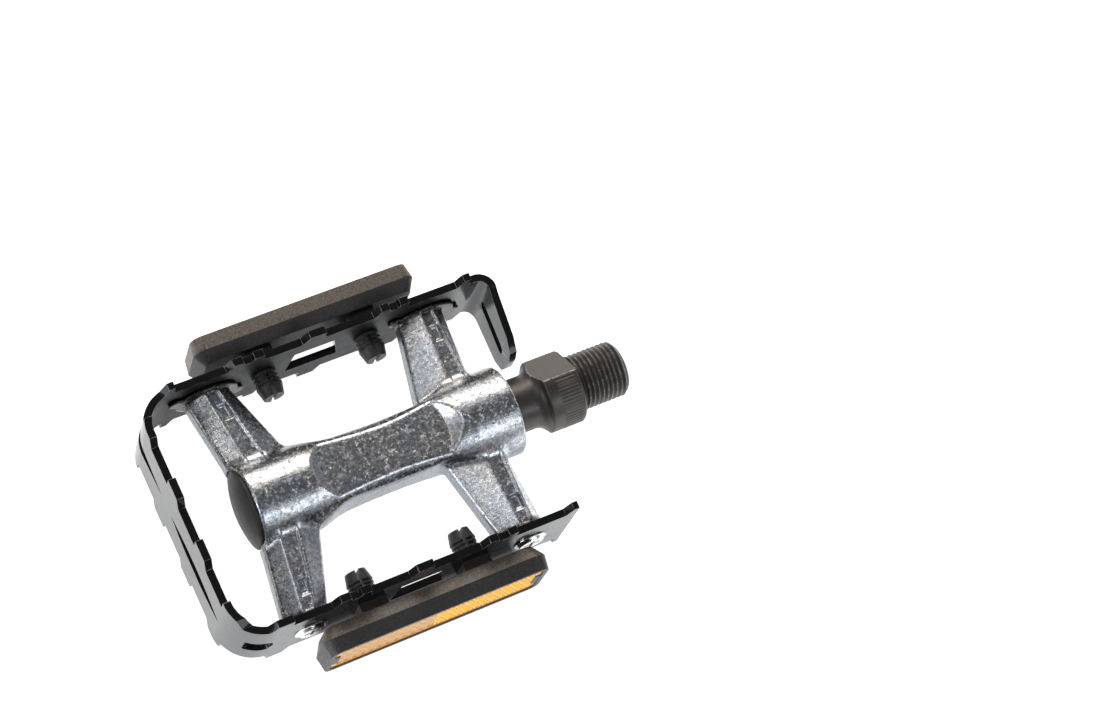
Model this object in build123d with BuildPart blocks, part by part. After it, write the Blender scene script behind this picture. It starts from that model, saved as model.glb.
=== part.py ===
from build123d import *
from math import cos, radians, sin, sqrt
import os

# Flat bicycle pedal: a cast body and a bent steel cage that turn on a threaded spindle.
# Millimetres.  The origin is the centre of the spindle's crank shoulder, +X runs along the
# spindle towards the crank arm, +Z is up.  Front is -Y (the cage's free end), rear is +Y.

os.makedirs("parts", exist_ok=True)

# ---- driving dimensions ---------------------------------------------------------------
# cage
cage_half_width = 32.4          # outer faces of the front and rear plates
cage_end_x = -104.9             # outer face of the toothed end plate
cage_thickness = 1.9
cage_base_height = 10.3         # half height of the strip between its teeth
tooth_height = 3.0
cage_corner_radius = 10.0       # outside radius of the two outer corners
front_end_x = -16.2             # free end of the front plate
tab_x = -9.4                    # outer face of the inner tab at its bend
tab_end_y = 10.6
tab_bend_radius = 4.5
tab_lean = 1.4                  # how far the tab leans away from the crank at its end
strap_slot_start = 29.8         # distance from the middle plane where the corner slot begins
strap_slot_end_x = -94.8
strap_slot_length = 14.0
strap_slot_height = 5.6
strap_slot_z = -1.0
window_half_height = 5.0
window_low_x = (-63.6, -49.6)   # its lower and upper edges
window_high_x = (-62.2, -51.6)

# body
barrel_crank_x = -18.0
barrel_outer_x = -87.5
barrel_crank_radius = 11.4
barrel_outer_radius = 10.8
waist_radius = 9.0
facet_height = 7.6
screw_x = (-85.2, -26.8)        # cage screws, the outer pair and the crank pair
arm_root_y = 6.0
arm_root_lines = ((-87.8, -83.7, -78.4, -71.9), (-39.4, -29.5, -25.0, -24.0))    # X of edge, ridge, ridge, edge
arm_tip_lines = ((-91.0, -86.5, -82.7, -79.3), (-34.7, -29.1, -25.5, -22.6))
arm_half_height = 5.6
arm_edge_height = 2.6
arm_pad_y = 23.4
foot_thickness = 1.3
foot_half_width = 8.4
foot_half_height = 6.7
ear_radius = 1.9

# spindle
thread_radius = 14.288 / 2      # 9/16 in
thread_pitch = 25.4 / 20        # 20 threads per inch
thread_depth = 0.62
thread_start = 1.7              # first crest
crest_count = 9
thread_relief = 0.2             # depth of the groove between thread and shoulder, below the root
spindle_tip_x = 13.5
collar_radius = 9.45
collar_length = 9.4
neck_radius = 6.9
undercut_radius = 7.3           # recess in the shoulder round the thread
undercut_depth = 0.4
shaft_radius = 4.75
end_thread_radius = 4.0
wrench_flat = 15.0              # across flats
wrench_flat_angle = 47.0        # from +Y towards +Z

# bearings
ball_radius = 3.175 / 2
ball_circle_radius = 6.4
race_radius = 1.65
ball_count = 12
ball_x = (-24.0, -76.5)         # ball circles at the crank end and the outer end
cup_radius = 9.2
bore_radius = 6.1
cap_radius = 10.0               # dust cap over the outer end
cap_dome_radius = 28.0

# reflectors
housing_x = (-85.6, -27.0)
housing_half_height = 8.7       # at its ridge
housing_back = 35.2             # distances from the middle plane
housing_ridge = 38.4
housing_front = 42.1
rim_wall = 1.3
peg_x = (-69.9, -42.4)
peg_radius = 2.65
peg_tip = 23.8
rib_radius = 3.25
barb_radius = 3.4
barb_length = 3.0
barb_taper = 14.0
rib_count = 3
rib_pitch = 1.15
rib_width = 0.55
first_rib = 2.25
split_width = 1.0
standoff_size = (7.0, 9.0)
housing_wall = 1.2              # behind the hollow
back_inset = (4.0, 2.4)         # how much shorter and lower the back is than the ridge
rim_inset = (1.2, 0.8)          # and the rim
lens_recess = 0.3
lens_thickness = 2.2
lens_corner = 1.4
clip_size = (1.8, 5.6)

plate_inner = cage_half_width - cage_thickness


def finish(part, name):
    part.label = name
    export_step(part, "parts/" + name + ".step")


# ---- cage -----------------------------------------------------------------------------
# Teeth along the front and rear plates: (low X, high X, notched).
middle_teeth = [(-79.1, -71.1, True), (-59.1, -54.8, False), (-40.1, -32.7, True)]
corner_tooth = {-1: (-95.2, -91.0, False), 1: (-95.8, -94.2, False)}    # by side, front and rear
end_tooth = {-1: (-17.6, 20.0, False), 1: (-17.6, -15.8, False)}
ramp = 1.6
notch_half = 1.0
notch_depth = 1.7


def tooth_outline(low, high, notched, base, top, ramp_low):
    """Outline points of one tooth, from its low-X side to its high-X side."""
    points = [(low - ramp if ramp_low else low, base), (low, top)]
    if notched:
        middle = (low + high) / 2
        points += [
            (middle - notch_half - 0.4, top),
            (middle - notch_half, top - notch_depth),
            (middle + notch_half, top - notch_depth),
            (middle + notch_half + 0.4, top),
        ]
    points += [(high, top), (high if ramp_low else high + ramp, base)]
    return points


def edge_waste(teeth, start, stop, side):
    """Closed outline of the strip that is cut away beyond a toothed edge, above or below."""
    base = cage_base_height
    top = base + tooth_height
    points = [(start, base)]
    for low, high, notched in teeth:
        points += tooth_outline(low, high, notched, base, top, side > 0)
    points += [(stop, base), (stop, top + 4), (start, top + 4)]
    return [(a, side * b) for a, b in points]


strip_height = cage_base_height + tooth_height + 0.9
end_tooth_pitch = 16.1
end_tooth_length = 5.2
lower_teeth_shift = 1.0
end_teeth_low = [-27.2 + end_tooth_pitch * i for i in range(4)]
end_teeth = [(low, low + end_tooth_length, False) for low in end_teeth_low]

with BuildPart() as cage:
    mid = cage_half_width - cage_thickness / 2
    end_mid = cage_end_x + cage_thickness / 2
    with BuildSketch() as plan:
        with BuildLine() as route:
            FilletPolyline(
                (front_end_x, -mid),
                (end_mid, -mid),
                (end_mid, mid),
                (tab_x - cage_thickness / 2, mid),
                (tab_x - cage_thickness / 2 - tab_lean, tab_end_y),
                radius=[
                    cage_corner_radius - cage_thickness / 2,
                    cage_corner_radius - cage_thickness / 2,
                    tab_bend_radius - cage_thickness / 2,
                ],
            )
        trace(line_width=cage_thickness)
    extrude(amount=strip_height, both=True)
    # toothed edges of the front and rear plates
    for side in (1, -1):
        for plate_side, plane_y in ((-1, -cage_half_width), (1, cage_half_width - 6)):
            teeth = [corner_tooth[plate_side]] + middle_teeth + [end_tooth[plate_side]]
            with BuildSketch(Plane.XZ.offset(-plane_y)) as waste:
                with BuildLine():
                    Polyline(*edge_waste(teeth, -97.5, 25.0, side), close=True)
                make_face()
            extrude(amount=-6, mode=Mode.SUBTRACT)
    # toothed edges of the end plate and the two outer corners
    for side in (1, -1):
        shifted = end_teeth
        if side < 0:
            shifted = [(lower_teeth_shift - b, lower_teeth_shift - a, n) for a, b, n in reversed(end_teeth)]
        with BuildSketch(Plane.YZ.offset(cage_end_x)) as waste:
            with BuildLine():
                Polyline(*edge_waste(shifted, -40.0, 40.0, side), close=True)
            make_face()
        extrude(amount=-cage_end_x - 97.5, mode=Mode.SUBTRACT)
    # the teeth at the crank end are trimmed to their own height
    for side in (1, -1):
        with BuildSketch(Plane.XY.offset(side * (cage_base_height + tooth_height))) as cap:
            with Locations((0, 0)):
                Rectangle(240, 90)
        extrude(amount=side * 3, mode=Mode.SUBTRACT)
    # tapered, rounded tab
    with BuildSketch(Plane.YZ.offset(tab_x - 4)) as tab_waste:
        with BuildLine():
            outline = [(28.6, cage_base_height), (26.5, 9.4), (14.8, 7.8), (11.4, 5.6), (tab_end_y, 2.6)]
            lower = [(y, -z) for y, z in reversed(outline)]
            Polyline(
                *outline, *lower, (28.6, -20.0), (2.0, -20.0), (2.0, 20.0), (28.6, 20.0), close=True
            )
        make_face()
    extrude(amount=8, mode=Mode.SUBTRACT)
    with BuildSketch(Plane.YZ.offset(tab_x - 4)) as tab_slot:
        with Locations((21.0, 0)):
            SlotOverall(14.2, 3.0)
    extrude(amount=8, mode=Mode.SUBTRACT)
    # strap slot round the front outer corner, square at its end-plate side
    with BuildSketch(Plane.XZ.offset(strap_slot_start)) as strap_slot:
        with Locations((strap_slot_end_x - strap_slot_length / 2, strap_slot_z)):
            SlotOverall(strap_slot_length, strap_slot_height)
    extrude(amount=8, mode=Mode.SUBTRACT)
    # parallelogram windows in the front and rear plates
    with BuildSketch(Plane.XZ) as windows:
        with BuildLine():
            Polyline(
                (window_low_x[0], -window_half_height),
                (window_high_x[0], window_half_height),
                (window_high_x[1], window_half_height),
                (window_low_x[1], -window_half_height),
                close=True,
            )
        make_face()
    extrude(amount=cage_half_width + 2, both=True, mode=Mode.SUBTRACT)
    # long pointed slits in the end plate
    with BuildSketch(Plane.YZ.offset(cage_end_x - 2)) as slits:
        with BuildLine():
            ThreePointArc((-23.0, 0), (-8.9, 2.0), (5.2, 0))
            ThreePointArc((5.2, 0), (-8.9, -2.0), (-23.0, 0))
        make_face()
        with BuildLine():
            Line((10.8, 0), (26.5, 2.4))
            ThreePointArc((26.5, 2.4), (28.9, 0), (26.5, -2.4))
            Line((26.5, -2.4), (10.8, 0))
        make_face()
    extrude(amount=14, mode=Mode.SUBTRACT)
    # clearance holes for the screws and the reflector pegs
    with BuildSketch(Plane.XZ) as plate_holes:
        with Locations(*[(x, 0) for x in screw_x]):
            Circle(2.2)
        with Locations(*[(x, 0) for x in peg_x]):
            Circle(peg_radius + 0.05)
    extrude(amount=cage_half_width + 2, both=True, mode=Mode.SUBTRACT)
finish(cage.part, "cage")


# ---- body -----------------------------------------------------------------------------
def arm_section(lines):
    """Eight-sided section of an arm, from the X of its edges and of the two ridges between them."""
    edge_low, ridge_low, ridge_high, edge_high = lines
    upper = [
        (edge_low, arm_edge_height),
        (ridge_low, arm_half_height),
        (ridge_high, arm_half_height),
        (edge_high, arm_edge_height),
    ]
    return upper + [(x, -z) for x, z in reversed(upper)]


foot_y = plate_inner - foot_thickness

with BuildPart() as body:
    # round barrel with a waisted middle
    with BuildSketch(Plane.XY) as barrel_profile:
        with BuildLine():
            Polyline((barrel_crank_x, 0), (barrel_crank_x, barrel_crank_radius), (-30.0, barrel_crank_radius))
            ThreePointArc((-30.0, barrel_crank_radius), (-51.0, waist_radius), (-72.0, barrel_outer_radius))
            Polyline(
                (-72.0, barrel_outer_radius),
                (barrel_outer_x, barrel_outer_radius),
                (barrel_outer_x, 0),
                (barrel_crank_x, 0),
            )
        make_face()
    revolve(axis=Axis.X)
    # four tapered arms and the feet that the cage is screwed to
    for side in (-1, 1):
        for root_lines, tip_lines, hole_x in zip(arm_root_lines, arm_tip_lines, screw_x):
            with BuildSketch(Plane.XZ.offset(-side * arm_root_y)) as root:
                with BuildLine():
                    Polyline(*arm_section(root_lines), close=True)
                make_face()
            with BuildSketch(Plane.XZ.offset(-side * foot_y)) as tip:
                with BuildLine():
                    Polyline(*arm_section(tip_lines), close=True)
                make_face()
            loft()
            with BuildSketch(Plane.XZ.offset(-side * foot_y)) as foot:
                with Locations((hole_x, 0)):
                    Ellipse(foot_half_width, foot_half_height)
                with Locations((hole_x - foot_half_width, 2.6), (hole_x + foot_half_width, -2.6)):
                    Circle(ear_radius)
            extrude(amount=-side * foot_thickness)
            # shallow channel between the ridges, and a square pocket near the foot
            tip_middle = (tip_lines[1] + tip_lines[2]) / 2
            for face in (-1, 1):
                with BuildSketch(Plane.XY.offset(face * (arm_half_height - 0.4))) as channel:
                    with BuildLine():
                        Polyline(
                            (root_lines[1] + 0.5, side * 12.5),
                            (root_lines[2] - 0.6, side * 12.5),
                            (tip_lines[2] - 0.5, side * foot_y),
                            (tip_lines[1] + 0.5, side * foot_y),
                            close=True,
                        )
                    make_face()
                extrude(amount=face * 2, mode=Mode.SUBTRACT)
                with BuildSketch(Plane.XY.offset(face * (arm_half_height - 1.1))) as pocket:
                    with Locations((tip_middle + 0.2, side * arm_pad_y)):
                        Rectangle(2.2, 3.8)
                extrude(amount=face * 2, mode=Mode.SUBTRACT)
            # tapped hole for the screw
            with Locations(Plane.XZ.offset(-side * plate_inner)):
                with Locations((hole_x, 0)):
                    Cylinder(2.0, 24.0, mode=Mode.SUBTRACT)
    # flat facets on the top and bottom of the waist, and shallower ones on its sides
    for face in (-1, 1):
        with BuildSketch(Plane.XY.offset(face * facet_height)) as facet:
            with Locations((-52.3, 0)):
                SlotOverall(38.5, 12.2)
        extrude(amount=face * 6, mode=Mode.SUBTRACT)
        with BuildSketch(Plane.XZ.offset(face * 8.5)) as side_facet:
            with Locations((-51.0, 0)):
                SlotOverall(27.0, 7.0)
        extrude(amount=face * 6, mode=Mode.SUBTRACT)
    # bore and the two counterbores that hold the bearing cups
    with BuildSketch(Plane.XY) as bore_profile:
        with BuildLine():
            Polyline(
                (barrel_crank_x, 0),
                (barrel_crank_x, cup_radius),
                (ball_x[0] - 3.2, cup_radius),
                (ball_x[0] - 3.2, bore_radius),
                (ball_x[1] + 3.2, bore_radius),
                (ball_x[1] + 3.2, cup_radius),
                (barrel_outer_x, cup_radius),
                (barrel_outer_x, 0),
                close=True,
            )
        make_face()
    revolve(axis=Axis.X, mode=Mode.SUBTRACT)
    # room for the dust cap between the outer pair of arms
    with BuildSketch(Plane.YZ.offset(barrel_outer_x)) as cap_room:
        Circle(cap_radius + 0.3)
    extrude(amount=-6, mode=Mode.SUBTRACT)
finish(body.part, "body")


# ---- bearings -------------------------------------------------------------------------
def cup_outline(x, out):
    """Half section of a pressed cup whose open side faces out (+1 crank, -1 outer end)."""
    lip = x + out * race_radius
    floor = x - out * 3.2
    return lip, floor


for name, x, out in (("inner_bearing_cup", ball_x[0], 1), ("outer_bearing_cup", ball_x[1], -1)):
    lip, floor = cup_outline(x, out)
    with BuildPart() as cup:
        with BuildSketch(Plane.XY) as cup_section:
            with BuildLine():
                Polyline(
                    (x, ball_circle_radius + race_radius),
                    (lip, ball_circle_radius + race_radius),
                    (lip, cup_radius),
                    (floor, cup_radius),
                    (floor, bore_radius),
                    (x - out * race_radius, bore_radius),
                    (x - out * race_radius, ball_circle_radius),
                )
                RadiusArc(
                    (x - out * race_radius, ball_circle_radius),
                    (x, ball_circle_radius + race_radius),
                    out * race_radius,
                )
            make_face()
        revolve(axis=Axis.X)
    finish(cup.part, name)

for name, x in (("inner_balls", ball_x[0]), ("outer_balls", ball_x[1])):
    with BuildPart() as balls:
        with Locations(Plane.YZ.offset(x)):
            with PolarLocations(ball_circle_radius, ball_count):
                Sphere(ball_radius)
    finish(balls.part, name)


# ---- spindle --------------------------------------------------------------------------
inner_x = ball_x[0]
cone_x = ball_x[1]
spindle_end_x = -87.0

with BuildPart() as spindle:
    with BuildSketch(Plane.XY) as shaft_profile:
        with BuildLine():
            Polyline(
                (-undercut_depth, 0),
                (-undercut_depth, undercut_radius),
                (0, undercut_radius),
                (0, collar_radius - 0.5),
                (-0.5, collar_radius),
                (-collar_length, collar_radius),
            )
            ThreePointArc(
                (-collar_length, collar_radius),
                (-collar_length - 0.9, neck_radius + 0.75),
                (-collar_length - 3.2, neck_radius),
            )
            Polyline(
                (-collar_length - 3.2, neck_radius),
                (inner_x + race_radius, neck_radius),
                (inner_x + race_radius, ball_circle_radius),
            )
            RadiusArc(
                (inner_x + race_radius, ball_circle_radius),
                (inner_x, ball_circle_radius - race_radius),
                race_radius,
            )
            Polyline(
                (inner_x, ball_circle_radius - race_radius),
                (inner_x - 20.0, shaft_radius),
                (cone_x + 3.0, end_thread_radius + 0.4),
                (cone_x + 2.4, end_thread_radius),
                (spindle_end_x + 0.6, end_thread_radius),
                (spindle_end_x, end_thread_radius - 0.6),
                (spindle_end_x, 0),
                (-undercut_depth, 0),
            )
        make_face()
    revolve(axis=Axis.X)
    # threaded end, with its thread as rings at the true pitch
    with BuildSketch(Plane.XY) as thread_profile:
        with BuildLine():
            root = thread_radius - thread_depth
            crest_half = 0.16
            neck = root - thread_relief
            points = [(-1.0, 0), (-1.0, neck), (thread_start - 0.7, neck)]
            for i in range(crest_count):
                crest_x = thread_start + i * thread_pitch
                points += [
                    (crest_x - thread_pitch / 2 + 0.08, root),
                    (crest_x - crest_half, thread_radius),
                    (crest_x + crest_half, thread_radius),
                    (crest_x + thread_pitch / 2 - 0.08, root),
                ]
            points += [(spindle_tip_x - 0.6, root), (spindle_tip_x, root - 0.6), (spindle_tip_x, 0)]
            Polyline(*points, close=True)
        make_face()
    revolve(axis=Axis.X)
    # two wrench flats on the collar
    for side in (-1, 1):
        flat_plane = Plane(
            origin=(0, 0, 0),
            x_dir=(1, 0, 0),
            z_dir=(0, side * cos(radians(wrench_flat_angle)), side * sin(radians(wrench_flat_angle))),
        )
        with BuildSketch(flat_plane.offset(wrench_flat / 2)) as flat:
            with Locations((-4.9, 0)):
                Rectangle(11.4, 20)
        extrude(amount=5, mode=Mode.SUBTRACT)
    # keyway for the washer
    with BuildSketch(Plane.XY.offset(end_thread_radius - 0.8)) as keyway:
        with Locations((-81.0, 0)):
            Rectangle(13.0, 1.8)
    extrude(amount=2, mode=Mode.SUBTRACT)
finish(spindle.part, "spindle")

with BuildPart() as adjusting_cone:
    with BuildSketch(Plane.XY) as cone_section:
        with BuildLine():
            Polyline(
                (cone_x, ball_circle_radius - race_radius),
                (cone_x + 1.6, ball_circle_radius - race_radius),
                (cone_x + 1.6, end_thread_radius),
                (cone_x - 5.6, end_thread_radius),
                (cone_x - 5.6, ball_circle_radius),
                (cone_x - race_radius, ball_circle_radius),
            )
            RadiusArc(
                (cone_x - race_radius, ball_circle_radius),
                (cone_x, ball_circle_radius - race_radius),
                -race_radius,
            )
        make_face()
    revolve(axis=Axis.X)
    # slots across the outer face for the adjusting tool
    with BuildSketch(Plane.YZ.offset(cone_x - 5.6)) as tool_slots:
        Rectangle(14, 2.2)
    extrude(amount=1.2, mode=Mode.SUBTRACT)
finish(adjusting_cone.part, "adjusting_cone")

washer_x = cone_x - 5.6
with BuildPart() as keyed_washer:
    with BuildSketch(Plane.YZ.offset(washer_x)) as washer_face:
        Circle(6.2)
        Circle(end_thread_radius + 0.05, mode=Mode.SUBTRACT)
        with Locations((0, end_thread_radius - 0.1)):
            Rectangle(1.6, 1.2)
    extrude(amount=-1.0)
finish(keyed_washer.part, "keyed_washer")

with BuildPart() as locknut:
    with BuildSketch(Plane.YZ.offset(washer_x - 1.0)) as nut_face:
        RegularPolygon(6.0, 6, major_radius=False)
        Circle(end_thread_radius, mode=Mode.SUBTRACT)
    extrude(amount=-3.4)
finish(locknut.part, "locknut")

with BuildPart() as spindle_seal:
    with BuildSketch(Plane.XY) as seal_section:
        with BuildLine():
            Polyline(
                (barrel_crank_x - 0.4, neck_radius + 0.05),
                (barrel_crank_x - 0.4, cup_radius),
                (barrel_crank_x - 3.0, cup_radius),
                (barrel_crank_x - 3.0, neck_radius + 0.5),
                (barrel_crank_x - 1.9, neck_radius + 0.05),
                close=True,
            )
        make_face()
    revolve(axis=Axis.X)
finish(spindle_seal.part, "spindle_seal")

with BuildPart() as dust_cap:
    with BuildSketch(Plane.XY) as cap_section:
        with BuildLine():
            Polyline(
                (barrel_outer_x + 3.0, 7.9),
                (barrel_outer_x + 3.0, cup_radius),
                (barrel_outer_x, cup_radius),
                (barrel_outer_x, cap_radius),
                (barrel_outer_x - 0.7, cap_radius),
            )
            dome = cap_dome_radius - sqrt(cap_dome_radius**2 - cap_radius**2)
            sagitta = cap_dome_radius - sqrt(cap_dome_radius**2 - (cap_radius / 2) ** 2)
            apex_x = barrel_outer_x - 0.7 - dome
            ThreePointArc(
                (barrel_outer_x - 0.7, cap_radius), (apex_x + sagitta, cap_radius / 2), (apex_x, 0)
            )
            Polyline(
                (apex_x, 0),
                (apex_x + 1.5, 0),
                (barrel_outer_x - 0.2, 7.9),
                (barrel_outer_x + 3.0, 7.9),
            )
        make_face()
    revolve(axis=Axis.X)
finish(dust_cap.part, "dust_cap")


# ---- cage screws ----------------------------------------------------------------------
head_radius = 3.7
head_height = 1.1
flange_radius = 4.3
flange_height = 0.35
for name, side in (("front_cage_screws", -1), ("rear_cage_screws", 1)):
    with BuildPart() as screws:
        for x in screw_x:
            head_plane = Plane(origin=(x, side * cage_half_width, 0), x_dir=(1, 0, 0), z_dir=(0, side, 0))
            with BuildSketch(head_plane) as flange:
                Circle(flange_radius)
            extrude(amount=flange_height)
            with BuildSketch(head_plane) as head:
                Circle(head_radius)
            extrude(amount=head_height, taper=25)
            with BuildSketch(head_plane) as shank:
                Circle(2.0)
            extrude(amount=-11.0)
            with BuildSketch(head_plane.offset(head_height)) as recess:
                Rectangle(4.2, 0.9)
                Rectangle(0.9, 4.2)
            extrude(amount=-1.6, taper=12, mode=Mode.SUBTRACT)
    finish(screws.part, name)


# ---- reflectors -----------------------------------------------------------------------
housing_length = housing_x[1] - housing_x[0]
housing_mid = (housing_x[0] + housing_x[1]) / 2
housing_depth = housing_front - housing_back
ridge_depth = housing_ridge - housing_back
rim_length = housing_length - rim_inset[0]
rim_height = 2 * housing_half_height - rim_inset[1]
window_length = rim_length - 2 * rim_wall
window_height = rim_height - 2 * rim_wall
lens_floor = housing_depth - lens_recess - lens_thickness
plate_gap = housing_back - cage_half_width
barb_start = cage_half_width - peg_tip - barb_length

for end, side in (("front", -1), ("rear", 1)):
    back_plane = Plane(origin=(housing_mid, side * housing_back, 0), x_dir=(1, 0, 0), z_dir=(0, side, 0))
    with BuildPart() as housing:
        # shell that swells from its back to a ridge and narrows a little to its rim
        with BuildSketch(back_plane) as back:
            RectangleRounded(housing_length - back_inset[0], 2 * housing_half_height - back_inset[1], 2.4)
        with BuildSketch(back_plane.offset(ridge_depth)) as ridge:
            RectangleRounded(housing_length, 2 * housing_half_height, 3.0)
        loft()
        with BuildSketch(back_plane.offset(ridge_depth)) as ridge_again:
            RectangleRounded(housing_length, 2 * housing_half_height, 3.0)
        with BuildSketch(back_plane.offset(housing_depth)) as rim:
            RectangleRounded(rim_length, rim_height, 2.6)
        loft()
        # hollow behind the lens, and the opening that the lens sits in
        with BuildSketch(back_plane.offset(housing_wall)) as hollow:
            Rectangle(window_length - 4.0, window_height - 3.0)
        extrude(amount=housing_depth, mode=Mode.SUBTRACT)
        with BuildSketch(back_plane.offset(lens_floor)) as seat:
            RectangleRounded(window_length, window_height, lens_corner)
        extrude(amount=housing_depth, mode=Mode.SUBTRACT)
        # clips that hold the lens at its two ends
        with BuildSketch(back_plane.offset(lens_floor + lens_thickness)) as clips:
            with Locations((-window_length / 2 + 0.7, 0), (window_length / 2 - 0.7, 0)):
                Rectangle(*clip_size)
        extrude(amount=lens_recess - 0.1)
        # standoffs against the cage plate, and split barbed pegs through it
        for x in peg_x:
            with BuildSketch(back_plane) as standoff:
                with Locations((x - housing_mid, 0)):
                    Rectangle(*standoff_size)
            extrude(amount=-plate_gap)
            peg_plane = Plane(origin=(x, side * cage_half_width, 0), x_dir=(1, 0, 0), z_dir=(0, side, 0))
            with BuildSketch(peg_plane) as peg:
                Circle(peg_radius)
            extrude(amount=-barb_start)
            with BuildSketch(peg_plane.offset(-barb_start)) as barb:
                Circle(barb_radius)
            extrude(amount=-barb_length, taper=barb_taper)
            for i in range(rib_count):
                with BuildSketch(peg_plane.offset(-first_rib - rib_pitch * i)) as rib:
                    Circle(rib_radius)
                    Circle(peg_radius - 0.5, mode=Mode.SUBTRACT)
                extrude(amount=-rib_width)
            with BuildSketch(peg_plane.offset(peg_tip - cage_half_width)) as split:
                Rectangle(split_width, 8.0)
            extrude(amount=6.0, taper=1.5, mode=Mode.SUBTRACT)
    finish(housing.part, end + "_reflector_housing")

    with BuildPart() as lens:
        with BuildSketch(back_plane.offset(lens_floor)) as lens_face:
            RectangleRounded(window_length, window_height, lens_corner)
        extrude(amount=lens_thickness)
        with BuildSketch(back_plane.offset(lens_floor)) as lens_hollow:
            Rectangle(window_length - 6.0, window_height - 5.0)
        extrude(amount=0.8, mode=Mode.SUBTRACT)
    finish(lens.part, end + "_reflector_lens")
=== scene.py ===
import math

import bpy
import numpy as np
from mathutils import Matrix, Vector


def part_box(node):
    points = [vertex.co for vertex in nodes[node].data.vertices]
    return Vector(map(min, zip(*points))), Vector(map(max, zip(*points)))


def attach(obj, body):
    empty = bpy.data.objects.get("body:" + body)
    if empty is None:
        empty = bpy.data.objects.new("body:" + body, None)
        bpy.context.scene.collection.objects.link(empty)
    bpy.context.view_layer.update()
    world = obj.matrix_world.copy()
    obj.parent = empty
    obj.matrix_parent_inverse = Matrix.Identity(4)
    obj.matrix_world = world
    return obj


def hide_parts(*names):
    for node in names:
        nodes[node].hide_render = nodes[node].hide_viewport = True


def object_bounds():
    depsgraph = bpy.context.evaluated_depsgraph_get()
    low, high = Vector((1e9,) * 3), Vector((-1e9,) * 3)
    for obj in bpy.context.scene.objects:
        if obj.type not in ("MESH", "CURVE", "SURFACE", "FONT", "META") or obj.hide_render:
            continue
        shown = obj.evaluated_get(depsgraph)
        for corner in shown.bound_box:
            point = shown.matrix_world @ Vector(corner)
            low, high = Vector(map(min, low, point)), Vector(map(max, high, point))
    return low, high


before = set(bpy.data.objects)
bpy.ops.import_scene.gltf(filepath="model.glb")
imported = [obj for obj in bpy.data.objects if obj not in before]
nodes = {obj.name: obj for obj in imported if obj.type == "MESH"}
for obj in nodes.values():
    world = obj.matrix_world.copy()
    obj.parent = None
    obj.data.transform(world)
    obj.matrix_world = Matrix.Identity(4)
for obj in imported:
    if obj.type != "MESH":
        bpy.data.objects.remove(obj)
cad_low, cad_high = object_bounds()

MM = 0.001


def limits(node):
    """Lowest and highest corner of a CAD node in millimetres."""
    low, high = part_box(node)
    return np.array(low) / MM, np.array(high) / MM


# ---- camera, floor and light ----------------------------------------------------------
FOCAL_LENGTH = 97.9
CAMERA_PLACE = (-247.5, -170.7, 677.9)
CAMERA_FORWARD = Vector((0.33053, 0.23999, -0.91277))
CAMERA_UP = Vector((0.33694, 0.87339, 0.35165))

camera_data = bpy.data.cameras.new("camera")
camera_data.sensor_fit = "HORIZONTAL"
camera_data.sensor_width = 36.0
camera_data.lens = FOCAL_LENGTH
camera_data.clip_start = 0.01
camera_data.clip_end = 20.0
camera = bpy.data.objects.new("camera", camera_data)
bpy.context.scene.collection.objects.link(camera)
forward = CAMERA_FORWARD.normalized()
right = forward.cross(CAMERA_UP).normalized()
turn = Matrix((right, right.cross(forward), -forward)).transposed().to_4x4()
camera.matrix_world = Matrix.Translation(Vector(CAMERA_PLACE) * MM) @ turn
bpy.context.scene.camera = camera
bpy.context.scene.view_settings.view_transform = "Standard"


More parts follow.
